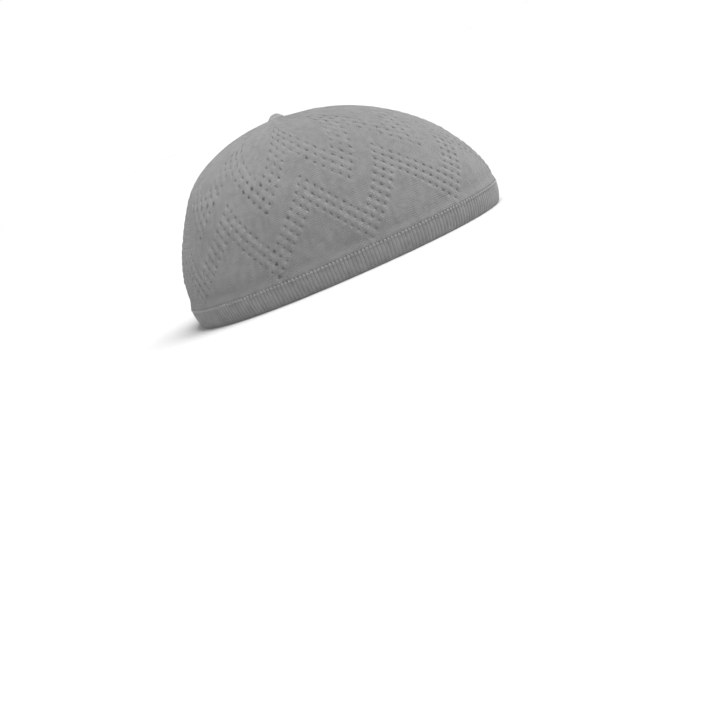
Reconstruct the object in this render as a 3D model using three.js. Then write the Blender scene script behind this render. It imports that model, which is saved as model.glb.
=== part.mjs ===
// Knitted skull cap with a ribbed hem band, a plain fine-knit crown and a small gathered knot.
// Millimetres, +Z up. The cap stands on its rim at Z = 0, its front faces -Y,
// and the origin is the middle of the ground that it covers. The knot stands a little behind it.
import * as THREE from 'three';

// Driving dimensions of the cap, measured from the upright line through its knot
const FRONT_REACH = 107;
const BACK_REACH = 92;
const HALF_WIDTH = 80;
const CROWN_RISE = 97.5;

// Thickness of the knitted crown and of the doubled hem band
const KNIT_WALL = 1.6;
const BAND_WALL = 2.4;

// Hem band: its height, its rounded fold, and the raised linking seam along its top
const BAND_HEIGHT = 12.5;
const FOLD_ROUND = 0.5;
const SEAM_TALL = 2.4;
const SEAM_PROUD = 0.7;

// Gathered knot: pad on the outside, stem through the crown's eye, tuft on the inside
const KNOT_WIDTH = 8;
const KNOT_RISE = 2.6;
const STEM_WIDTH = 2.6;
const TUFT_WIDTH = 5;
const TUFT_DROP = 1;
const KNOT_GATHERS = 10;
const GATHER_DEPTH = 0.25;

// Outlines of the knot, as shares of its half width and of its rise above the crown, and of
// its tuft, as shares of the tuft's half width and drop
const PAD_OUTLINE = [
  { across: 0.9, up: 0 },
  { across: 1, up: 0.25 },
  { across: 0.85, up: 0.7 },
  { across: 0.5, up: 1 },
  { across: 0.2, up: 0.85 },
  { across: 0, up: 0.7 },
];
const TUFT_OUTLINE = [
  { across: 0, down: 1 },
  { across: 0.8, down: 1 },
  { across: 1, down: 0.5 },
  { across: 0.9, down: 0 },
];

// Clearance between pieces that meet
const SEAT_GAP = 0.3;

// Fineness of the facets
const COLUMNS = 80;
const OUTER_ROWS = 18;
const INNER_ROWS = 12;
const KNOT_COLUMNS = 40;

// The rim tucks in under the crown: how far, and up to which height
const RIM_TUCK = 2.6;
const TUCK_HEIGHT = 14;

// Sections of the cap, one every 15 degrees of latitude from the rim to the top. They are shares
// of an ellipsoid with the reaches above, and a smooth curve follows them. The back is fuller
// than the front, and the sides stand up more than either.
const SECTION_STEP = 15;
const SECTIONS = [
  { latitude: 0, front: 1.0, back: 1.0, side: 1.0 },
  { latitude: 15, front: 1.02, back: 1.01, side: 1.02 },
  { latitude: 30, front: 1.01, back: 1.025, side: 1.07 },
  { latitude: 45, front: 0.965, back: 1.06, side: 1.14 },
  { latitude: 60, front: 0.955, back: 1.2, side: 1.215 },
  { latitude: 75, front: 0.83, back: 1.3, side: 1.21 },
  { latitude: 90, front: 0.75, back: 1.34, side: 1.15 },
];

// How square the cap is seen from above: 2 is an ellipse
const SQUARENESS = 2.2;

// The last full section lies this many eye radii from the middle
const EYE_FLARE = 3;

const toRadians = THREE.MathUtils.degToRad;
const toDegrees = THREE.MathUtils.radToDeg;

// One column of the table at any latitude, as a uniform cubic B-spline of its rows
function shareAt(column, latitude) {
  const last = SECTIONS.length - 1;
  const value = (k) => {
    if (k < 0) {
      return 2 * SECTIONS[0][column] - SECTIONS[1][column];
    }
    return SECTIONS[k > last ? last - 1 : k][column];
  };
  const place = latitude / SECTION_STEP;
  const i = Math.min(Math.floor(place), last - 1);
  const t = place - i;
  const before = (1 - t) ** 3 * value(i - 1);
  const lower = (3 * t ** 3 - 6 * t ** 2 + 4) * value(i);
  const upper = (-3 * t ** 3 + 3 * t ** 2 + 3 * t + 1) * value(i + 1);
  const after = t ** 3 * value(i + 2);
  return (before + lower + upper + after) / 6;
}

// A point of the surface that lies `inset` inside the outer face. Heading 0 is the front,
// and a quarter turn is the wearer's left side.
function latitudePoint(latitude, heading, inset) {
  const height = (CROWN_RISE - inset) * Math.sin(toRadians(latitude));
  const shrink = Math.cos(toRadians(latitude));
  const tuck = RIM_TUCK * Math.max(1 - height / TUCK_HEIGHT, 0) ** 2;
  const reachOf = (column, size) => (size - inset) * shareAt(column, latitude) * shrink - tuck;
  const along = Math.cos(heading);
  const across = Math.sin(heading);
  const reach = along > 0 ? reachOf('front', FRONT_REACH) : reachOf('back', BACK_REACH);
  const side = reachOf('side', HALF_WIDTH);
  const power = Math.abs(along / reach) ** SQUARENESS + Math.abs(across / side) ** SQUARENESS;
  const radius = power ** (-1 / SQUARENESS);
  return new THREE.Vector3(radius * across, -radius * along, height);
}

function latitudeOf(height, inset) {
  return toDegrees(Math.asin(height / (CROWN_RISE - inset)));
}

// A body that runs round the cap. Its profile closes on itself: it is turned from the outline
// that it has at the front, and then each row takes the cap's own section at every heading.
function turnedBody(rows) {
  const profile = [...rows, rows[0]];
  const frontOutline = profile.map((row) => {
    const point = row(0);
    return new THREE.Vector2(-point.y, point.z);
  });
  const geometry = new THREE.LatheGeometry(frontOutline, COLUMNS);
  const position = geometry.attributes.position;
  for (let i = 0; i < position.count; i += 1) {
    const column = Math.floor(i / profile.length);
    const point = profile[i % profile.length]((2 * Math.PI * column) / COLUMNS);
    position.setXYZ(i, point.x, point.y, point.z);
  }
  return geometry;
}

// Knitted crown: an open dome from the band's top to the small eye under the knot
function crownGeometry() {
  const foot = BAND_HEIGHT + SEAT_GAP;
  const eyeRadius = STEM_WIDTH / 2 + SEAT_GAP;
  const eyeLatitude = toDegrees(Math.acos((EYE_FLARE * eyeRadius) / HALF_WIDTH));
  const face = (inset, count) => {
    const start = latitudeOf(foot, inset);
    const rows = [];
    for (let i = 0; i <= count; i += 1) {
      const latitude = start + ((eyeLatitude - start) * i) / count;
      rows.push((heading) => latitudePoint(latitude, heading, inset));
    }
    rows.push((heading) => new THREE.Vector3(
      eyeRadius * Math.sin(heading),
      -eyeRadius * Math.cos(heading),
      CROWN_RISE - inset,
    ));
    return rows;
  };
  const outside = face(0, OUTER_ROWS);
  const inside = face(KNIT_WALL, INNER_ROWS);
  return turnedBody([...outside, ...inside.reverse()]);
}

// Doubled hem band: its section runs up the outside, over the seam and down the inside
function bandGeometry() {
  const proud = (BAND_WALL - KNIT_WALL) / 2;
  const outer = -proud;
  const inner = KNIT_WALL + proud;
  const seamFoot = BAND_HEIGHT - SEAM_TALL;
  const section = [
    { inset: outer + FOLD_ROUND, height: 0 },
    { inset: outer, height: FOLD_ROUND },
    { inset: outer, height: seamFoot / 2 },
    { inset: outer, height: seamFoot },
    { inset: outer - SEAM_PROUD, height: seamFoot + SEAM_TALL / 3 },
    { inset: outer - SEAM_PROUD, height: BAND_HEIGHT - SEAM_TALL / 3 },
    { inset: outer, height: BAND_HEIGHT },
    { inset: inner, height: BAND_HEIGHT },
    { inset: inner, height: seamFoot / 2 },
    { inset: inner, height: FOLD_ROUND },
    { inset: inner - FOLD_ROUND, height: 0 },
  ];
  return turnedBody(section.map(({ inset, height }) => {
    const latitude = latitudeOf(height, inset);
    return (heading) => latitudePoint(latitude, heading, inset);
  }));
}

// Gathered knot: a turned outline whose pad is drawn in by the gathers
function knotGeometry() {
  const pad = KNOT_WIDTH / 2;
  const stem = STEM_WIDTH / 2;
  const tuft = TUFT_WIDTH / 2;
  const seat = CROWN_RISE + SEAT_GAP;
  const rise = KNOT_RISE - SEAT_GAP;
  const under = CROWN_RISE - KNIT_WALL - SEAT_GAP;
  const outline = [
    ...TUFT_OUTLINE.map(({ across, down }) => new THREE.Vector2(tuft * across, under - TUFT_DROP * down)),
    new THREE.Vector2(stem, under),
    new THREE.Vector2(stem, seat),
    ...PAD_OUTLINE.map(({ across, up }) => new THREE.Vector2(pad * across, seat + rise * up)),
  ];
  const geometry = new THREE.LatheGeometry(outline, KNOT_COLUMNS);
  geometry.rotateX(Math.PI / 2);
  const position = geometry.attributes.position;
  for (let i = 0; i < position.count; i += 1) {
    const x = position.getX(i);
    const y = position.getY(i);
    const radius = Math.hypot(x, y);
    if (position.getZ(i) > under + SEAT_GAP && radius > stem + SEAT_GAP) {
      const wave = Math.cos(KNOT_GATHERS * Math.atan2(y, x));
      const pull = 1 - (GATHER_DEPTH * (1 - wave)) / (2 * radius);
      position.setXY(i, x * pull, y * pull);
    }
  }
  return geometry;
}

function piece(name, geometry, colour, roughness) {
  const material = new THREE.MeshStandardMaterial({ color: colour, roughness, metalness: 0 });
  const mesh = new THREE.Mesh(geometry, material);
  mesh.name = name;
  return mesh;
}

const cap = new THREE.Group();
cap.add(piece('crown', crownGeometry(), 0x9b9b9b, 0.95));
cap.add(piece('rim_band', bandGeometry(), 0x9b9b9b, 0.95));
cap.add(piece('top_knot', knotGeometry(), 0xa3a3a3, 0.95));

// The middle of the cap's length comes to the origin
const spread = new THREE.Box3().setFromObject(cap);
cap.position.y = -(spread.min.y + spread.max.y) / 2;

export default cap;
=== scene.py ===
# %% [markdown]
# # A knitted skull cap
#
# This notebook dresses a plain solid model of a knitted skull cap. The real cap is one fine
# cotton knit: a smooth dome with two zigzag bands of small eyelets, a narrow ribbed hem, a
# chain of linking stitches along the hem, and a small gathered knot on top.
# The solid model is loaded first and stays the measure of every size.

# %% Load the solid model
import math

import bmesh
import bpy
import numpy as np
from mathutils import Matrix, Vector


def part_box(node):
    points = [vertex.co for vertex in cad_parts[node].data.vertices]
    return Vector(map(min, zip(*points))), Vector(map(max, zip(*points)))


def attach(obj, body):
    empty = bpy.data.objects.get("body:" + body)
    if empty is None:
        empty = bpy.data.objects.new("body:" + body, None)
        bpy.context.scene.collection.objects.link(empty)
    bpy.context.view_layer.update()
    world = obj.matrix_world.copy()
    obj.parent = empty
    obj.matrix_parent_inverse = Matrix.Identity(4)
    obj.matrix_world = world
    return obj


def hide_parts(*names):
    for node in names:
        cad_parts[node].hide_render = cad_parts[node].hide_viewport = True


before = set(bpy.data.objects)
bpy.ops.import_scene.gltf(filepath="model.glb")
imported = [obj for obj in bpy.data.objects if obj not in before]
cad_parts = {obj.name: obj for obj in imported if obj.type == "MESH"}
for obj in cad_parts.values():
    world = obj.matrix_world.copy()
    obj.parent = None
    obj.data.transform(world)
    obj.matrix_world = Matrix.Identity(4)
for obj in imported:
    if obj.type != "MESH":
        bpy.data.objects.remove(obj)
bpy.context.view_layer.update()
print("solid pieces:", sorted(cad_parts))

# %% [markdown]
# ## Sizes
#
# The reaches are measured from the upright line through the knot. They are the sizes that the
# solid model was made with. Its height, and the place of the knot, are read from it, so the
# dressed cap can't drift away from it.

# %% Sizes of the cap, in metres
FRONT_REACH = 0.107
BACK_REACH = 0.092
HALF_WIDTH = 0.080
KNIT_WALL = 0.0016
BAND_WALL = 0.0024
RIM_TUCK = 0.0026
TUCK_HEIGHT = 0.014
SQUARENESS = 2.2

_, crown_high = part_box("crown")
_, band_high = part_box("rim_band")
knot_low, knot_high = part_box("top_knot")
CROWN_RISE = crown_high.z
BAND_HEIGHT = band_high.z
KNOT_Y = (knot_low.y + knot_high.y) / 2

# The hem ends a little below the solid band's top edge, and the seam runs along its top
HEM_SHORTER = 0.0006
SEAM_HIGHER = 0.0001
HEM_TOP = BAND_HEIGHT - HEM_SHORTER
SEAM_LINE = HEM_TOP + SEAM_HIGHER
print("rise", round(CROWN_RISE, 4), "hem", round(BAND_HEIGHT, 4), "knot at y", round(KNOT_Y, 4))

# %% [markdown]
# ## The cap's surface as a function
#
# A knitted cap has no flat panels to measure, so its shape is described by level sections, one
# every 15 degrees of latitude. Each row of the table says how far the front, the back and the
# sides reach there, as shares of an ellipsoid. A B-spline runs smoothly through the rows. The
# same function places the crown, the hem, the chain of stitches and the knot, so that they
# always meet.

# %% The surface function
SAMPLES_ROUND = 721
SAMPLES_UP = 361
SECTION_STEP = 15
SECTIONS = [
    {"latitude": 0, "front": 1.0, "back": 1.0, "side": 1.0},
    {"latitude": 15, "front": 1.02, "back": 1.01, "side": 1.02},
    {"latitude": 30, "front": 1.01, "back": 1.025, "side": 1.07},
    {"latitude": 45, "front": 0.965, "back": 1.06, "side": 1.14},
    {"latitude": 60, "front": 0.955, "back": 1.2, "side": 1.215},
    {"latitude": 75, "front": 0.83, "back": 1.3, "side": 1.21},
    {"latitude": 90, "front": 0.75, "back": 1.34, "side": 1.15},
]


def share(column, latitude):
    """One column of the table at one latitude, in degrees."""
    values = [row[column] for row in SECTIONS]
    values = [2 * values[0] - values[1], *values, values[-2]]
    place = latitude / SECTION_STEP
    i = min(int(place), len(SECTIONS) - 2)
    t = place - i
    weights = ((1 - t) ** 3, 3 * t**3 - 6 * t**2 + 4, -3 * t**3 + 3 * t**2 + 3 * t + 1, t**3)
    return sum(w * v for w, v in zip(weights, values[i:i + 4])) / 6


def ring(latitude, heading, inset=0.0):
    """Points of one level section. Heading 0 is the front, a quarter turn the wearer's left."""
    height = (CROWN_RISE - inset) * math.sin(math.radians(latitude))
    shrink = math.cos(math.radians(latitude))
    tuck = RIM_TUCK * max(1 - height / TUCK_HEIGHT, 0) ** 2
    front = (FRONT_REACH - inset) * share("front", latitude) * shrink - tuck
    back = (BACK_REACH - inset) * share("back", latitude) * shrink - tuck
    side = (HALF_WIDTH - inset) * share("side", latitude) * shrink - tuck
    along, across = np.cos(heading), np.sin(heading)
    reach = np.where(along > 0, front, back)
    power = np.abs(along / reach) ** SQUARENESS + np.abs(across / side) ** SQUARENESS
    radius = power ** (-1 / SQUARENESS)
    level = np.full_like(radius, height)
    return np.stack([radius * across, KNOT_Y - radius * along, level], axis=-1)


def latitude_of(height, inset=0.0):
    return math.degrees(math.asin(height / (CROWN_RISE - inset)))


def even_headings(latitude, fractions):
    """Headings that share a section's length evenly. Fractions run from the front rightwards."""
    fine = np.linspace(0, 2 * np.pi, SAMPLES_ROUND)
    steps = np.linalg.norm(np.diff(ring(latitude, fine), axis=0), axis=1)
    run = np.concatenate([[0], np.cumsum(steps)]) / steps.sum()
    return -np.interp(np.mod(fractions, 1), run, fine)


side_latitudes = np.linspace(0, 90, SAMPLES_UP)
side_line = np.array([ring(latitude, np.array(np.pi / 2)) for latitude in side_latitudes])
side_run = np.concatenate([[0], np.cumsum(np.linalg.norm(np.diff(side_line, axis=0), axis=1))])
print("from rim to knot over the side:", round(side_run[-1] * 1000, 1), "mm")

# %% [markdown]
# ## The knit chart
#
# The zigzags are charted as a knitter would write them down. Rows are counted up the cap, and
# columns round it. The pattern repeats ten times. In the lower band a repeat is 18 columns
# wide, and in the upper band, after the knitter's decreases, 16. Each leg of a zigzag climbs
# one row for each column, and is three eyelets deep, on every second row.

# %% The chart
REPEATS = 10
LOWER = {"columns": 18, "first_row": 0}
UPPER = {"columns": 16, "first_row": 10}
EYELETS_DEEP = (0, 2, 4)
TOP_ROW = 24.9

# How the knit lies on the cap: where a repeat starts, and how far it leans for each row
PATTERN_START = 0.3256
LEAN_PER_ROW = 0.001

# Rows up the side of the cap, in metres from the rim: they grow taller near the top
FIRST_ROW_AT = 0.017
ROW_TALL = 0.0035
ROW_GROWTH = 1.0e-7


def row_run(row):
    return FIRST_ROW_AT + ROW_TALL * row + ROW_GROWTH * row**4


def row_latitude(row):
    return float(np.interp(row_run(row), side_run, side_latitudes))


def leg_height(place, width):
    """How many rows the zigzag has climbed at a place in its repeat, from its valley."""
    return np.abs((np.asarray(place) + width / 2) % width - width / 2)


def eyelets():
    """Every eyelet of the chart: its band, its column and its row."""
    found = []
    for band in (LOWER, UPPER):
        for column in range(REPEATS * band["columns"]):
            for deep in EYELETS_DEEP:
                row = band["first_row"] + int(leg_height(column, band["columns"])) + deep
                found.append((band, column, row))
    return found


print("eyelets in the chart:", len(eyelets()))

# %% [markdown]
# ## A grid that follows the knit
#
# The crown could be carved out of a sphere, but then its eyelets would cut across the faces at
# random. A grid whose lines follow the knitted columns and rows is better: each eyelet then
# sits on a corner of the grid, and all the relief can be told from the chart. The upper band
# has fewer columns than the lower one, so the grid's lines shift sideways a little between
# the bands, as the knit's own columns do where it is decreased.

# %% Grid lines of the crown
FINE = 3
LINES = REPEATS * LOWER["columns"] * FINE
LINES_PER_REPEAT = LOWER["columns"] * FINE
FOOT_ROW = -1
LAST_EYELET_ROW = 22
EVEN_ROWS = (LAST_EYELET_ROW - FOOT_ROW) * FINE + 1
ROWS_TO_KNOT = 5
ROWS = np.concatenate([
    np.linspace(FOOT_ROW, LAST_EYELET_ROW, EVEN_ROWS),
    np.linspace(LAST_EYELET_ROW, TOP_ROW, ROWS_TO_KNOT + 1)[1:],
])

# How many rows above the lower zigzag the lines start to shift, and over how many they do
SHIFT_AFTER = 4.5
SHIFT_OVER = 5


def upper_lines():
    """The grid line on which each column of the upper band lies, within one repeat."""
    lines = [0]
    for column in range(UPPER["columns"]):
        lines.append(round(LINES_PER_REPEAT * (column + 1) / UPPER["columns"]))
    return lines


UPPER_LINES = upper_lines()


def smooth_step(x):
    x = np.clip(x, 0, 1)
    return x * x * (3 - 2 * x)


def line_places(row):
    """Where each grid line runs on one row, in turns of the pattern, 0 to 1."""
    line = np.arange(LINES + 1)
    repeat, within = np.divmod(line, LINES_PER_REPEAT)
    lower = within / LINES_PER_REPEAT
    upper = np.interp(within, UPPER_LINES, np.arange(UPPER["columns"] + 1)) / UPPER["columns"]
    climb = leg_height(within / FINE, LOWER["columns"])
    into_upper = smooth_step((row - climb - SHIFT_AFTER) / SHIFT_OVER)
    return (repeat + lower + (upper - lower) * into_upper) / REPEATS


def crown_base():
    """The smooth surface under the relief: points and turns for each grid row and line."""
    points = []
    turns = []
    for row in ROWS:
        latitude = row_latitude(row) if row > FOOT_ROW else latitude_of(SEAM_LINE)
        places = line_places(row)
        turns.append(places)
        headings = even_headings(latitude, PATTERN_START - LEAN_PER_ROW * row - places)
        points.append(ring(latitude, headings))
    points = np.array(points)
    points[:, -1] = points[:, 0]
    return points, np.array(turns)


base, base_turns = crown_base()
print("grid of the crown:", len(ROWS), "rows by", LINES, "lines")

# %% [markdown]
# ## Relief of the knit
#
# Openwork is not flat. Where stitches are drawn aside for an eyelet, the yarn between the
# holes heaps up into small slanted ridges that all lean the same way, and the plain knit
# between the zigzags puffs out. Both are worked out from the chart. The ridges run between
# the diagonals on which the eyelets lie.
#
# Four smooth shapes are added to them: faint waves, the rows that the hem draws in, the gathers
# that run to the knot, and the slack that lies in front of it.

# %% Relief over the chart
# The ridges' height, how much they swell like beads where they pass between two eyelets, and
# how far the groove from one eyelet to the next is bridged. Openwork lies a little deeper than
# the plain knit. It gets painted shade between its ridges, and its ridges a painted highlight.
RIDGE = 0.0012
BEADS = 0.2
BRIDGE = 0.3
SUNK = 0.0004
SHADE_BETWEEN = 0.3

# Openwork reaches this many rows past its outer eyelets, and fades out over its edge
OPENWORK_MARGIN = 1.6
OPENWORK_EDGE = 1.2

# The ridges swell and fade a little round the cap, and are softer in the upper rows
RIDGE_SWELL = 0.15
SWELLS_ROUND = 23
SWELL_LEAN = 1.7
SWELL_CLIMB = 1.1
SWELL_PHASE = 0.6
SOFTER = 0.55
SOFTER_FROM = 6
SOFTER_OVER = 10

# The hem draws in the rows above it, and the lowest row flares out to cover the hem's top
PULL_ROW = 0.3
PULL_SPREAD = 0.9
PULL_DEEP = 0.00025
# Painted shade on the rows that the hem draws in
PULL_SHADE = 0.35
FOOT_FLARE = 0.0005
FLARE_ROWS = 1.5

# Waves of the knit: how many go round, their lean, depth and phase. They end at both edges.
WAVES = (
    (3, 0.55, 0.00014, 2.1),
    (5, 0.45, 0.00012, 4.0),
    (7, 0.9, 0.0001, 1.2),
    (11, 0.7, 0.00008, 5.1),
)
WAVES_END = 3

# Gathers near the knot, in rows
GATHERS = 20
GATHER_DEEP = 0.00025
GATHERS_FROM = 20
GATHERS_OVER = 3
GATHERS_END = 1.2

# Slack round the knot: its depth, where it starts and ends, and how much more lies in front
SLACK = 0.0012
SLACK_FROM = 0.003
SLACK_RISES = 0.008
SLACK_TO = 0.042
SLACK_FALLS = 0.03
SLACK_IN_FRONT = 0.45


def grid_normals(points):
    """Unit normals of a grid that closes round the cap, all pointing outwards."""
    across = np.roll(points[:, :-1], -1, axis=1) - np.roll(points[:, :-1], 1, axis=1)
    across = np.concatenate([across, across[:, :1]], axis=1)
    along = np.gradient(points, axis=0)
    normals = np.cross(along, across)
    normals /= np.linalg.norm(normals, axis=2, keepdims=True)
    outward = points - np.array([0, KNOT_Y, 0])
    if (normals * outward).sum() < 0:
        normals = -normals
    return normals


def band_relief(band, rows, turns):
    """Ridges of one band, and how far into the band each place is, from 0 to 1."""
    column = turns * REPEATS * band["columns"]
    above = rows - band["first_row"] - leg_height(column, band["columns"])
    below_top = EYELETS_DEEP[-1] + OPENWORK_MARGIN - above
    inside = smooth_step((above + OPENWORK_MARGIN) / OPENWORK_EDGE)
    inside = inside * smooth_step(below_top / OPENWORK_EDGE)
    ridge = 0.5 - 0.5 * np.cos(np.pi * (column + rows - band["first_row"]))
    past_eyelets = np.cos(np.pi * (column - rows + band["first_row"]))
    beads = 1 - BEADS + BEADS * past_eyelets
    bridge = BRIDGE * (0.5 - 0.5 * past_eyelets) * (1 - ridge)
    return (ridge * beads + bridge) * inside, inside


def crown_relief(turns):
    """How far the knit stands out at each place, in metres, and its painted shading there."""
    rows = ROWS[:, None] + 0 * turns
    low_ridge, low_inside = band_relief(LOWER, rows, turns)
    high_ridge, high_inside = band_relief(UPPER, rows, turns)
    ridge = np.maximum(low_ridge, high_ridge)
    inside = np.maximum(low_inside, high_inside)
    swell = np.sin(2 * np.pi * SWELLS_ROUND * turns + SWELL_LEAN * rows)
    uneven = 1 + RIDGE_SWELL * swell * np.sin(SWELL_CLIMB * rows + SWELL_PHASE)
    softer = 1 - SOFTER * smooth_step((rows - SOFTER_FROM) / SOFTER_OVER)
    relief = (RIDGE * ridge * uneven - SUNK * inside) * softer
    pulled = np.exp(-((rows - PULL_ROW) / PULL_SPREAD) ** 2)
    relief -= PULL_DEEP * pulled
    fading = smooth_step((rows - FOOT_ROW) / WAVES_END) * smooth_step((TOP_ROW - rows) / WAVES_END)
    for count, lean, deep, phase in WAVES:
        relief += deep * np.sin(2 * np.pi * count * turns + lean * rows + phase) * fading
    near_knot = smooth_step((rows - GATHERS_FROM) / GATHERS_OVER)
    near_knot = near_knot * smooth_step((TOP_ROW - rows) / GATHERS_END)
    relief += GATHER_DEEP * near_knot * np.cos(2 * np.pi * GATHERS * turns)
    from_knot = side_run[-1] - row_run(rows)
    to_front = PATTERN_START - LEAN_PER_ROW * rows - turns
    slack = smooth_step((from_knot - SLACK_FROM) / SLACK_RISES)
    slack = slack * smooth_step((SLACK_TO - from_knot) / SLACK_FALLS)
    in_front = 1 - SLACK_IN_FRONT + SLACK_IN_FRONT * np.cos(2 * np.pi * to_front)
    relief -= SLACK * slack * in_front
    relief += FOOT_FLARE * smooth_step(1 - (rows - FOOT_ROW) / FLARE_ROWS)
    # Painted shading: shade between the openwork's ridges and on the drawn-in rows, and, below
    # zero, a painted highlight on the ridges
    painted_shading = (SHADE_BETWEEN * inside * (1 - ridge) - ridge) * softer + PULL_SHADE * pulled
    return relief, painted_shading


normals = grid_normals(base)
relief, crown_painted_shading = crown_relief(base_turns)
surface = base + normals * relief[..., None]
print("relief from", round(relief.min() * 1e3, 2), "to", round(relief.max() * 1e3, 2), "mm")

# %% [markdown]
# ## From arrays to a mesh
#
# `create_grid` makes the faces, and the arrays only say where its corners go. Where the grid
# meets itself, at the start of the pattern, its doubles are merged. A corner's UV is kept in
# columns and rows of stitches, so a material can draw each stitch in its place. A second value
# at each corner is painted shading: it darkens the colour in hollows and lightens it on ridges.

# %% Helpers that turn a placed grid into a piece
COLLECTION = bpy.context.scene.collection


def unit(vector):
    return vector / np.linalg.norm(vector)


def new_piece(name, bm, material, replaced=None):
    """Make the built mesh a piece that rides on the cap, and hide the solid that it replaces."""
    mesh = bpy.data.meshes.new(name)
    bm.to_mesh(mesh)
    bm.free()
    mesh.shade_smooth()
    piece = bpy.data.objects.new(name, mesh)
    COLLECTION.objects.link(piece)
    piece.data.materials.append(material)
    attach(piece, "root")
    if replaced:
        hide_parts(replaced)
    mesh.calc_loop_triangles()
    print(name, "has", len(mesh.loop_triangles), "triangles before its modifiers")
    return piece


def placed_grid(points, turns, wales, courses, painted_shading):
    """A grid whose corners lie at points[row, line]. Its last line lies on its first.

    The UVs count stitches: wales[row] of them go round the cap in the faces above a row, and
    courses[row] of them lie below it.
    """
    rows, lines = points.shape[0] - 1, points.shape[1] - 1
    bm = bmesh.new()
    bmesh.ops.create_grid(bm, x_segments=lines, y_segments=rows, size=1)
    uv_layer = bm.loops.layers.uv.new("knit")
    # This layer holds the painted shading at each corner
    painted_shading_layer = bm.verts.layers.float.new("painted_shading")
    corners = []
    for vertex in bm.verts:
        corner = round((vertex.co.y + 1) / 2 * rows), round((vertex.co.x + 1) / 2 * lines)
        corners.append(corner)
        vertex.co = points[corner]
        vertex[painted_shading_layer] = painted_shading[corner]
    bm.verts.index_update()
    for face in bm.faces:
        places = [corners[loop.vert.index] for loop in face.loops]
        count = wales[min(row for row, _ in places)]
        for loop, (row, line) in zip(face.loops, places):
            loop[uv_layer].uv = turns[row, line] * count, courses[row]
    return bm, corners


def face_outwards(bm, middle):
    """Turn all faces away from the middle."""
    bmesh.ops.recalc_face_normals(bm, faces=bm.faces)
    lean = sum((f.calc_center_median() - middle).dot(f.normal) * f.calc_area() for f in bm.faces)
    if lean < 0:
        bmesh.ops.reverse_faces(bm, faces=bm.faces)


# %% [markdown]
# ## Sums in shader nodes
#
# Shader maths is easier to read as sums than as wires. The small class below lets a Python
# expression on sockets add the Math nodes for it.

# %% A class for sums, and a maker of nodes
NOISE_ROUGHNESS = 0.6


class Field:
    """A socket that carries a number over the surface."""

    def __init__(self, maker, socket):
        self.maker = maker
        self.socket = socket

    def join(self, operation, *values):
        return self.maker.maths(operation, *values)

    def __add__(self, other):
        return self.join("ADD", self, other)

    def __sub__(self, other):
        return self.join("SUBTRACT", self, other)

    def __rsub__(self, other):
        return self.join("SUBTRACT", other, self)

    def __mul__(self, other):
        return self.join("MULTIPLY", self, other)

    __radd__ = __add__
    __rmul__ = __mul__


class NodeMaker:
    """Adds nodes to one node tree, of a material or of the world."""

    def __init__(self, tree):
        self.tree = tree

    def node(self, kind, settings=None, inputs=None):
        made = self.tree.nodes.new(kind)
        for name, value in (settings or {}).items():
            setattr(made, name, value)
        for name, value in (inputs or {}).items():
            self.feed(made.inputs[name], value)
        return made

    def feed(self, socket, value):
        if isinstance(value, Field):
            value = value.socket
        if isinstance(value, bpy.types.NodeSocket):
            self.tree.links.new(value, socket)
        else:
            socket.default_value = value

    def maths(self, operation, *values):
        made = self.node("ShaderNodeMath", {"operation": operation})
        for socket, value in zip(made.inputs, values):
            self.feed(socket, value)
        return Field(self, made.outputs[0])

    def noise(self, vector, scale, detail):
        inputs = {"Vector": vector, "Scale": scale, "Detail": detail}
        inputs["Roughness"] = NOISE_ROUGHNESS
        return Field(self, self.node("ShaderNodeTexNoise", None, inputs).outputs["Fac"])

    def mix(self, factor, first, second):
        made = self.node("ShaderNodeMix", {"data_type": "RGBA"})
        self.feed(made.inputs["Factor"], factor)
        self.feed(made.inputs[6], first)
        self.feed(made.inputs[7], second)
        return made.outputs[2]


def new_finish(name):
    """A material, the maker of its nodes, and the inputs of its shader."""
    material = bpy.data.materials.new(name)
    material.use_nodes = True
    shader = material.node_tree.nodes["Principled BSDF"]
    return material, NodeMaker(material.node_tree), shader.inputs


# %% [markdown]
# ## The knit's finish
#
# Fine cotton jersey is a field of small V stitches. At arm's length they melt into a matt,
# slightly streaky grey, and close by they show as bumps. The V is drawn from the stitch UVs:
# each column of stitches has two legs, which slope towards each other. A little fuzz and an
# uneven dye finish it. All of these shares are added up to one tone, from dark to light. Painted
# shading from the mesh then darkens the tone in hollows and lightens it on ridges.

# %% The knit material
# A stitch is one unit wide, and the middle of each leg lies a quarter from the stitch's middle
LEG_MIDDLE = 0.25
LEG_SLOPE = 1.6
LEG_WAVE = 0.35

# Scale and detail of each noise. The streaks run over the stitches, and are stretched there.
FUZZ_SIZE = (2600, 3)
MOTTLE_SIZE = (330, 2)
CLOUD_SIZE = (60, 4)
STREAK_SIZE = (1.0, 3)
STREAK_STRETCH = (0.4, 0.14, 1)

# How much each of them adds to the tone
STITCH_TONE = 0.25
FUZZ_TONE = 0.25
MOTTLE_TONE = 0.45
CLOUD_TONE = 0.3
STREAK_TONE = 0.8
TONE_OFFSET = 0.53
# How much the painted shading darkens the tone in hollows and lightens it on ridges
PAINTED_SHADING_TONE = 0.25

FUZZ_DEPTH = 0.14
BUMP_DISTANCE = 0.001


def grey(value):
    return (value, value, value, 1)


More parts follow.
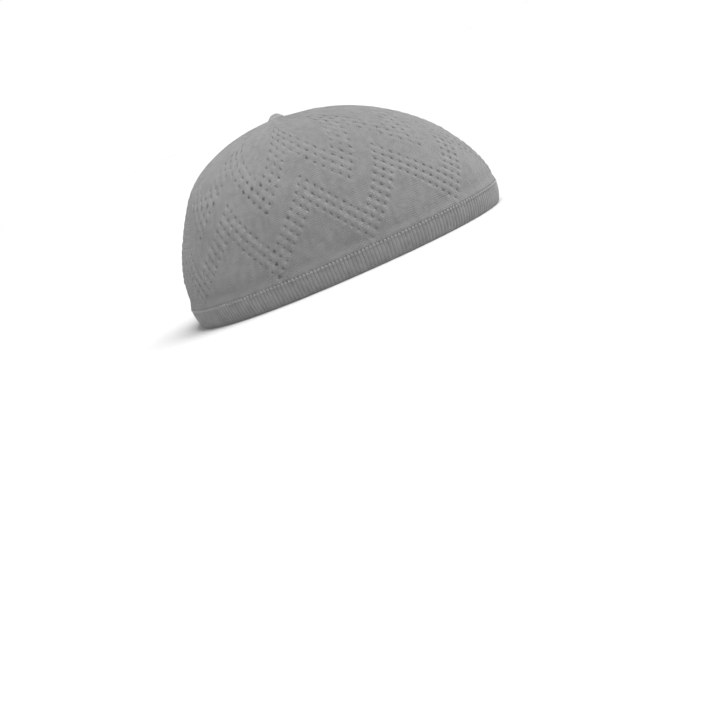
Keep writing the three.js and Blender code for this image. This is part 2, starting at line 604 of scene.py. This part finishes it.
def knit_finish(name, light, dark, stitch_depth, mottle_depth, stitches=(1, 1)):
    """A knit of two greys. Where the UVs don't count stitches, they are multiplied by some."""
    material, make, shader = new_finish(name)
    stitch_uv = make.node("ShaderNodeUVMap", {"uv_map": "knit"}).outputs["UV"]
    uv = make.node("ShaderNodeMapping", None, {
        "Vector": stitch_uv, "Scale": (*stitches, 1)}).outputs["Vector"]
    split = make.node("ShaderNodeSeparateXYZ", None, {"Vector": uv})
    wale = Field(make, split.outputs["X"])
    course = Field(make, split.outputs["Y"])
    place = make.node("ShaderNodeTexCoord").outputs["Object"]

    across = make.maths("ABSOLUTE", make.maths("FRACT", wale) - 0.5)
    off_leg = make.maths("ABSOLUTE", across - LEG_MIDDLE) * (1 / LEG_MIDDLE)
    leg = 1 - off_leg * off_leg
    slope = make.maths("COSINE", (course + across * LEG_SLOPE) * (2 * math.pi))
    stitch = leg * (slope * LEG_WAVE + (1 - LEG_WAVE))

    fuzz = make.noise(place, *FUZZ_SIZE)
    mottle = make.noise(place, *MOTTLE_SIZE)
    cloud = make.noise(place, *CLOUD_SIZE)
    stretched = make.node("ShaderNodeMapping", None, {"Vector": uv, "Scale": STREAK_STRETCH})
    streak = make.noise(stretched.outputs["Vector"], *STREAK_SIZE)
    # The painted shading kept at each corner: painted shade where it is above zero, painted
    # highlight where it is below
    marked = make.node("ShaderNodeAttribute", {"attribute_name": "painted_shading"})
    painted_shading = Field(make, marked.outputs["Fac"])

    tone = stitch * STITCH_TONE + fuzz * FUZZ_TONE + mottle * MOTTLE_TONE
    tone = tone + cloud * CLOUD_TONE + streak * STREAK_TONE - TONE_OFFSET
    tone = tone - painted_shading * PAINTED_SHADING_TONE
    make.feed(shader["Base Color"], make.mix(tone, grey(dark), grey(light)))
    shader["Roughness"].default_value = 0.95
    shader["Specular IOR Level"].default_value = 0.15
    shader["Sheen Weight"].default_value = 0.25
    shader["Sheen Roughness"].default_value = 0.6

    height = stitch * stitch_depth + fuzz * FUZZ_DEPTH + mottle * mottle_depth
    bump = make.node("ShaderNodeBump", None, {"Height": height, "Distance": BUMP_DISTANCE})
    make.feed(shader["Normal"], bump.outputs["Normal"])
    return material


crown_knit = knit_finish(
    "fine_knit", light=0.286, dark=0.129, stitch_depth=0.42, mottle_depth=0.45)
# The ribbed knit's greys are lighter than the crown's, which is painted light: the hem faces down
# and gets less light, and the lighter grey makes up for it
rib_knit = knit_finish(
    "ribbed_knit", light=0.3, dark=0.137, stitch_depth=0.14, mottle_depth=0.15)
knot_knit = knit_finish(
    "gathered_knit", light=0.35, dark=0.17, stitch_depth=0.2, mottle_depth=0.2, stitches=(24, 16))
yarn_knit = knit_finish(
    "linking_yarn", light=0.335, dark=0.18, stitch_depth=0.1, mottle_depth=0.1, stitches=(2, 3))
print("finishes:", crown_knit.name, rib_knit.name, knot_knit.name, yarn_knit.name)

# %% [markdown]
# ## The crown
#
# The placed grid is the outer face, and every eyelet sits on one of its corners. Dissolving
# that corner joins the four faces round it, and insetting the joined face leaves a small one
# in its middle. It is rounded, pushed in a little and deleted, which opens the eyelet. Near the
# knot the faces are narrow, so insets and eyelets are smaller there. Cutting a thousand holes
# with a boolean would be slow and leave ragged faces. A Solidify modifier then gives the knit
# its thickness inwards, through every eyelet too.
#
# A knitter keeps the stitches the same size all the way up, and takes some out every few
# rounds. So the count of wales, the upright columns of stitches, falls in steps.

# %% Make the crown
STITCH_WIDE = 0.0014
STITCH_TALL = 0.0012
WALE_STEPS = (360, 340, 320, 280, 240, 200, 160, 120, 80, 40, 20)
EYELET_RADIUS = 0.00024
EYELET_DIP = 0.00033
EYELET_STRAY = 0.00008
EYELET_UNEVEN = 0.15
# Painted shade round the rim of each eyelet
EYELET_SHADE = 0.35
JOINED_CORNERS = 8

# Insets to choose from, and the largest shares of a face's half width for inset and eyelet.
# An eyelet strays less in a face whose half width is less than WIDE_ENOUGH.
INSETS = (0.0004, 0.0003, 0.0002, 0.0001)
INSET_SHARE = 0.6
EYELET_SHARE = 0.7
WIDE_ENOUGH = 0.0009

around = np.linalg.norm(np.diff(base, axis=1), axis=2).sum(axis=1)
crown_wales = [
    next((count for count in WALE_STEPS if length / count > STITCH_WIDE), WALE_STEPS[-1])
    for length in around
]
crown_courses = [row_run(row) / STITCH_TALL for row in ROWS]
print("wales from hem to top:", crown_wales[0], "to", crown_wales[-1])


def eyelet_corners():
    """The grid row and grid line of every eyelet."""
    found = set()
    for band, column, row in eyelets():
        repeat, within = divmod(column, band["columns"])
        line = within * FINE if band is LOWER else UPPER_LINES[within]
        line += repeat * LINES_PER_REPEAT
        found.add(((row - FOOT_ROW) * FINE, line))
        if line == 0:
            found.add(((row - FOOT_ROW) * FINE, LINES))
    return found


def half_width(face):
    """From the middle of a face to its nearest corner."""
    centre = face.calc_center_median()
    return min((vertex.co - centre).length for vertex in face.verts)


def open_eyelets(bm, centres):
    """Join the faces round each centre, inset the joined face, round it and delete it."""
    chance = np.random.default_rng(7)
    painted_shading_layer = bm.verts.layers.float["painted_shading"]
    bmesh.ops.dissolve_verts(bm, verts=centres)
    joined = [face for face in bm.faces if len(face.verts) == JOINED_CORNERS]
    rooms = [half_width(face) for face in joined]
    deepest = [
        next((inset for inset in INSETS if inset < INSET_SHARE * room), INSETS[-1])
        for room in rooms
    ]
    for inset in INSETS:
        alike = [face for face, own in zip(joined, deepest) if own == inset]
        bmesh.ops.inset_individual(
            bm, faces=alike, thickness=inset, use_even_offset=True, use_interpolate=True)
    for face, room in zip(joined, rooms):
        normal = face.normal.copy()
        stray = Vector(chance.normal(0, EYELET_STRAY, 3)) * min(room / WIDE_ENOUGH, 1)
        centre = face.calc_center_median() + stray
        radius = min(EYELET_RADIUS * chance.normal(1, EYELET_UNEVEN), EYELET_SHARE * room)
        dip = EYELET_DIP * chance.normal(1, EYELET_UNEVEN)
        for vertex in face.verts:
            spoke = vertex.co - centre
            spoke -= normal * spoke.dot(normal)
            vertex.co = centre + spoke.normalized() * radius - normal * dip
            # Painted shade at the eyelet's rim
            vertex[painted_shading_layer] = EYELET_SHADE
    bmesh.ops.delete(bm, geom=joined, context="FACES_ONLY")
    return len(joined)


def make_crown():
    bm, corners = placed_grid(surface, base_turns, crown_wales, crown_courses, crown_painted_shading)
    centre_layer = bm.verts.layers.int.new("centre")
    wanted = eyelet_corners()
    for vertex, corner in zip(bm.verts, corners):
        vertex[centre_layer] = corner in wanted
    seam = [v for v, (_, line) in zip(bm.verts, corners) if line in (0, LINES)]
    bmesh.ops.remove_doubles(bm, verts=seam, dist=1e-6)
    face_outwards(bm, Vector((0, KNOT_Y, 0)))
    count = open_eyelets(bm, [v for v in bm.verts if v[centre_layer]])
    print("eyelets opened:", count, "each", round(EYELET_RADIUS * 2000, 2), "mm wide")
    piece = new_piece("knit_crown", bm, crown_knit, "crown")
    wall = piece.modifiers.new("knit wall", "SOLIDIFY")
    wall.thickness = KNIT_WALL
    wall.offset = -1
    wall.use_even_offset = False


make_crown()

# %% [markdown]
# ## The ribbed hem
#
# The hem is knitted twice as long as it shows and folded, so its lower edge is a soft round
# fold. Its outer face stands in fine ribs. The section is a closed loop, and the grid is run
# once round the cap with it. Each rib has six lines, enough to round it.

# %% Make the hem
RIBS = 256
LINES_PER_RIB = 6
RIB_DEEP = 0.0006
RIB_GROOVE = 0.0001
RIB_FULLNESS = 0.7
# Painted shade in the grooves between the ribs
GROOVE_SHADE = 0.8

# The hem's section, from the fold up the outside, over the top and down the inside
FOLD_ROUND = 0.0006
FOLD_STEPS = 4
FOLD_RELIEF = 0.2
RIBS_START = 0.0015
RIBS_END = HEM_TOP - 0.0012
RIB_STEPS = 9
TOP_ROUND = 0.0004
SHOULDER_RELIEF = 0.6
TOP_INSET = 0.0001
TOP_RELIEF = 0.2
INSIDE_START = HEM_TOP - 0.0005
INSIDE_END = 0.001
INSIDE_STEPS = 5


def hem_section():
    """The loop of the hem: inset from the cap's surface, height, and share of the rib relief."""
    outer, inner = -RIB_GROOVE, (BAND_WALL + KNIT_WALL) / 2
    rows = []
    for turn in np.linspace(0, np.pi / 2, FOLD_STEPS):
        inset = outer + FOLD_ROUND * (1 - math.sin(turn))
        rows.append((inset, FOLD_ROUND * (1 - math.cos(turn)), FOLD_RELIEF))
    for height in np.linspace(RIBS_START, RIBS_END, RIB_STEPS):
        rows.append((outer, height, 1.0))
    rows.append((outer, HEM_TOP - TOP_ROUND, SHOULDER_RELIEF))
    rows.append((outer + TOP_INSET, HEM_TOP, TOP_RELIEF))
    rows.append((inner - TOP_ROUND, HEM_TOP, 0.0))
    for height in np.linspace(INSIDE_START, INSIDE_END, INSIDE_STEPS):
        rows.append((inner, height, 0.0))
    rows.append((inner - FOLD_ROUND, 0.0, 0.0))
    return rows


def make_hem():
    lines = RIBS * LINES_PER_RIB
    turns = np.arange(lines + 1) / lines
    rib = (0.5 + 0.5 * np.cos(2 * np.pi * RIBS * turns)) ** RIB_FULLNESS
    points = []
    courses = []
    groove_shading = []
    for inset, height, ribbed in hem_section():
        latitude = latitude_of(height, inset)
        headings = even_headings(latitude, PATTERN_START - turns)
        level = ring(latitude, headings, inset)
        proud_level = ring(latitude, headings, inset - RIB_DEEP)
        place = level + (proud_level - level) * (rib * ribbed)[:, None]
        place[:, 2] = height
        points.append(place)
        courses.append(height / STITCH_TALL)
        # Painted shade in the grooves, on the rows that bear ribs
        groove_shading.append(GROOVE_SHADE * (1 - rib) * ribbed)
    for rows in (points, courses, groove_shading):
        rows.append(rows[0])
    points = np.array(points)
    points[:, -1] = points[:, 0]
    wales = [RIBS] * len(points)
    every_turn = np.broadcast_to(turns, points.shape[:2])
    bm, _ = placed_grid(points, every_turn, wales, courses, np.array(groove_shading))
    bmesh.ops.remove_doubles(bm, verts=bm.verts, dist=1e-6)
    bmesh.ops.recalc_face_normals(bm, faces=bm.faces)
    new_piece("ribbed_hem", bm, rib_knit, "rim_band")


make_hem()

# %% [markdown]
# ## The linking seam
#
# Crown and hem are joined stitch by stitch on a linking machine. On the real cap that is a
# thin light line of small Vs, one on top of each rib. Each leg of a V is one small stretched
# sphere, and the same mesh is copied round the cap. Adding spheres to one growing mesh with
# an operator would take a minute, and copying the mesh takes no time.

# %% Make the linking seam
LEG_LONG = 0.0022
LEG_THICK = 0.001
LEG_TILT = math.radians(64)
LEG_APART = 0.0007
SEAM_PROUD = 0.00045

# Steps to the neighbouring points from which the surface's directions are taken
NEXT_HEADING = 0.002
NEXT_LATITUDE = 0.2


def frame_at(height, heading, inset):
    """A turned frame on the surface: X runs round the cap, Y up it and Z outwards."""
    latitude = latitude_of(height, inset)
    here = ring(latitude, np.array(heading), inset)
    right = unit(ring(latitude, np.array(heading - NEXT_HEADING), inset) - here)
    above = ring(latitude + NEXT_LATITUDE, np.array(heading), inset) - here
    out = unit(np.cross(right, above))
    up = np.cross(out, right)
    if np.dot(out, here - np.array([0, KNOT_Y, 0])) < 0:
        out, up = -out, -up
    turn = Matrix([right, up, out]).transposed().to_4x4()
    return Matrix.Translation(Vector(here)) @ turn


def yarn_ball():
    """A ball one metre wide, as a mesh that is copied and pressed into each leg."""
    bm = bmesh.new()
    bm.loops.layers.uv.new("knit")
    bmesh.ops.create_uvsphere(bm, u_segments=8, v_segments=5, radius=0.5, calc_uvs=True)
    mesh = bpy.data.meshes.new("yarn_ball")
    bm.to_mesh(mesh)
    bm.free()
    return mesh


def add_leg(bm, ball, where, tilt):
    """Add one leg of a V: a ball with its poles turned to its ends, stretched and tilted."""
    copy = ball.copy()
    upright = Matrix.Rotation(math.pi / 2, 4, "Y")
    size = Matrix.Diagonal((LEG_LONG, LEG_THICK, LEG_THICK, 1))
    copy.transform(where @ Matrix.Rotation(tilt, 4, "Z") @ size @ upright)
    bm.from_mesh(copy)
    bpy.data.meshes.remove(copy)


def make_seam():
    bm = bmesh.new()
    ball = yarn_ball()
    fractions = PATTERN_START - np.arange(RIBS) / RIBS
    for heading in even_headings(latitude_of(SEAM_LINE), fractions):
        stitch = frame_at(SEAM_LINE, heading, -SEAM_PROUD)
        for side in (-1, 1):
            leg = stitch @ Matrix.Translation((side * LEG_APART / 2, 0, 0))
            add_leg(bm, ball, leg, side * LEG_TILT)
    new_piece("linking_seam", bm, yarn_knit)


make_seam()

# %% [markdown]
# ## The gathered knot
#
# The last stitches are threaded on the yarn's end and drawn tight. That leaves a small round
# nub with folds that run to its middle, and inside the cap a little tuft of yarn. Both are
# spheres that are pressed into shape: the nub spreads out over the crown's eye, and the tuft
# hangs through it.

# %% Make the knot
NUB_FACETS = (96, 40)
TUFT_FACETS = (48, 16)
KNOT_FOLDS = 11
FOLD_DEEP = 0.09
FOLD_TWIST = 0.9
FOLD_FULLNESS = 0.6

# Creases cut deeper into the nub's height than into its width, and fade out at its middle
CREASE = 1.6
CREASE_GROWTH = 3
BELL = 2.3
DIMPLE = 0.1
DIMPLE_WIDTH = 0.2

# The nub's foot spreads wider than the solid knot, lies on the crown and sinks into it
FOOT_SPREAD = 0.0013
FOOT_LIFT = 0.0001
FOOT_SINKS = 0.0005
TUFT_RADIUS = 0.0022
knot_radius = (knot_high.x - knot_low.x) / 2 + FOOT_SPREAD
knot_tall = knot_high.z - CROWN_RISE


def fold(x, y, z):
    """How deep in a fold a point of the unit sphere lies, from 0 to 1."""
    turn = math.atan2(y, x) + FOLD_TWIST * z
    return (0.5 - 0.5 * math.cos(KNOT_FOLDS * turn)) ** FOLD_FULLNESS


def press_nub(x, y, z):
    """Where a point of the unit sphere goes in the nub: a folded bell with a nearly flat foot."""
    flat = math.hypot(x, y)
    drawn_in = knot_radius * (1 - FOLD_DEEP / 2 * flat * fold(x, y, z))
    foot = CROWN_RISE + FOOT_LIFT - FOOT_SINKS * flat**2
    if z <= 0:
        return x * drawn_in, y * drawn_in, foot + FOOT_LIFT * z
    creased = 1 - CREASE * FOLD_DEEP * min(flat * CREASE_GROWTH, 1) * fold(x, y, z)
    rise = z**BELL * creased - DIMPLE * math.exp(-((flat / DIMPLE_WIDTH) ** 2))
    return x * drawn_in, y * drawn_in, foot + rise * knot_tall


def press_tuft(x, y, z):
    """Where a point of the unit sphere goes in the tuft, a folded ball that hangs inside."""
    drawn_in = TUFT_RADIUS * (1 - FOLD_DEEP * math.hypot(x, y) * fold(x, y, z))
    middle, half = (knot_low.z + CROWN_RISE) / 2, (CROWN_RISE - knot_low.z) / 2
    return x * drawn_in, y * drawn_in, middle + z * half


def make_knot():
    bm = bmesh.new()
    bm.loops.layers.uv.new("knit")
    for press, facets in ((press_nub, NUB_FACETS), (press_tuft, TUFT_FACETS)):
        ball = bmesh.ops.create_uvsphere(
            bm, u_segments=facets[0], v_segments=facets[1], radius=1, calc_uvs=True)
        for vertex in ball["verts"]:
            vertex.co = press(*vertex.co)
            vertex.co.y += KNOT_Y
    new_piece("gathered_knot", bm, knot_knit, "top_knot")


make_knot()

# %% [markdown]
# ## The floor
#
# Product pictures are taken on a sweep of pale paper. Here it is one very wide flat sheet, so
# its far edge lies at the horizon and isn't seen. A curved sweep would also do, but then every
# new camera height would need its own curve.

# %% Floor
FLOOR_HALF = 12.0
FLOOR_GREY = 0.61

floor_paper, _, paper = new_finish("pale_paper")
paper["Base Color"].default_value = grey(FLOOR_GREY)
paper["Roughness"].default_value = 0.9
paper["Specular IOR Level"].default_value = 0.1


def make_floor():
    bm = bmesh.new()
    bmesh.ops.create_grid(bm, x_segments=2, y_segments=2, size=FLOOR_HALF)
    mesh = bpy.data.meshes.new("floor")
    bm.to_mesh(mesh)
    bm.free()
    mesh.materials.append(floor_paper)
    floor = bpy.data.objects.new("floor", mesh)
    COLLECTION.objects.link(floor)


make_floor()

# %% [markdown]
# ## Sky and sun
#
# A studio's white walls light the cap from all sides. The sky stands for them: it is white
# near the horizon and dimmer overhead, so floor and background run into each other. One broad
# sun lamp is the big soft light above the cap. It leans to the side to which the camera is
# rolled, so the tones fall from the top of the picture to its foot. A small lamp would be
# simpler, but it would throw hard shadows from every stitch.

# %% Sky and sun
SKY_STRENGTH = 1.0
SKY_OVERHEAD = 0.36
SKY_DIMS_FROM = 0.2
SKY_DIMS_TO = 0.6
SUN_FROM = (-0.165, -0.37, 0.91)
SUN_STRENGTH = 4.45
SUN_WIDTH = math.radians(50)

world = bpy.data.worlds.new("pale_sky")
world.use_nodes = True
bpy.context.scene.world = world
sky = NodeMaker(world.node_tree)
direction = sky.node("ShaderNodeTexCoord").outputs["Generated"]
climb = sky.node("ShaderNodeSeparateXYZ", None, {"Vector": direction}).outputs["Z"]
brightness = sky.node("ShaderNodeMapRange", {"interpolation_type": "SMOOTHSTEP"}, {
    "Value": climb, "From Min": SKY_DIMS_FROM, "From Max": SKY_DIMS_TO,
    "To Min": SKY_STRENGTH, "To Max": SKY_STRENGTH * SKY_OVERHEAD})
background = world.node_tree.nodes["Background"]
background.inputs["Color"].default_value = (1, 1, 1, 1)
sky.feed(background.inputs["Strength"], brightness.outputs["Result"])

sun_data = bpy.data.lights.new("soft_sun", "SUN")
sun_data.energy = SUN_STRENGTH
sun_data.angle = SUN_WIDTH
sun = bpy.data.objects.new("soft_sun", sun_data)
sun.rotation_euler = Vector(SUN_FROM).to_track_quat("Z", "Y").to_euler()
COLLECTION.objects.link(sun)

# %% [markdown]
# ## A weak fill light
#
# The back of the cap turns away from the sun and would go too dark. A photographer would stand
# a white board there, and a weak area light does the same. It is far enough away to light the
# whole lower back evenly.

# %% Fill light behind the cap
FILL_AT = (-0.75, 0.95, 0.12)
FILL_SIZE = 0.8
FILL_POWER = 2.9

fill_data = bpy.data.lights.new("fill", "AREA")
fill_data.size = FILL_SIZE
fill_data.energy = FILL_POWER
fill = bpy.data.objects.new("fill", fill_data)
fill.location = FILL_AT
fill.rotation_euler = Vector(FILL_AT).to_track_quat("Z", "Y").to_euler()
COLLECTION.objects.link(fill)

# %% [markdown]
# ## The camera
#
# The camera looks at the wearer's right side from low down, with a long lens, as for a product
# picture: a short lens nearby would swell the near side. It is rolled so that the cap rises to
# the right, which keeps the cap itself level on its floor.

# %% Camera
CAMERA_AT = (-0.9966, 0.0525, 0.1089)
CAMERA_AIM = (0.0, 0.0184, -0.0577)
CAMERA_ROLL = 23.3
CAMERA_LENS = 82.3
SENSOR_WIDTH = 36

camera_data = bpy.data.cameras.new("camera")
camera_data.lens = CAMERA_LENS
camera_data.sensor_width = SENSOR_WIDTH
camera = bpy.data.objects.new("camera", camera_data)
COLLECTION.objects.link(camera)
look = (Vector(CAMERA_AIM) - Vector(CAMERA_AT)).normalized()
upright = look.to_track_quat("-Z", "Y").to_matrix().to_4x4()
roll = Matrix.Rotation(math.radians(-CAMERA_ROLL), 4, "Z")
camera.matrix_world = Matrix.Translation(CAMERA_AT) @ upright @ roll
bpy.context.scene.camera = camera
bpy.context.scene.view_settings.view_transform = "Standard"

# %% [markdown]
# ## Sizes and the last check
#
# The dressed cap should be as big as the solid model, apart from the knit's relief. At the end
# the scene is brought up to date.

# %% Finish
bpy.context.view_layer.update()
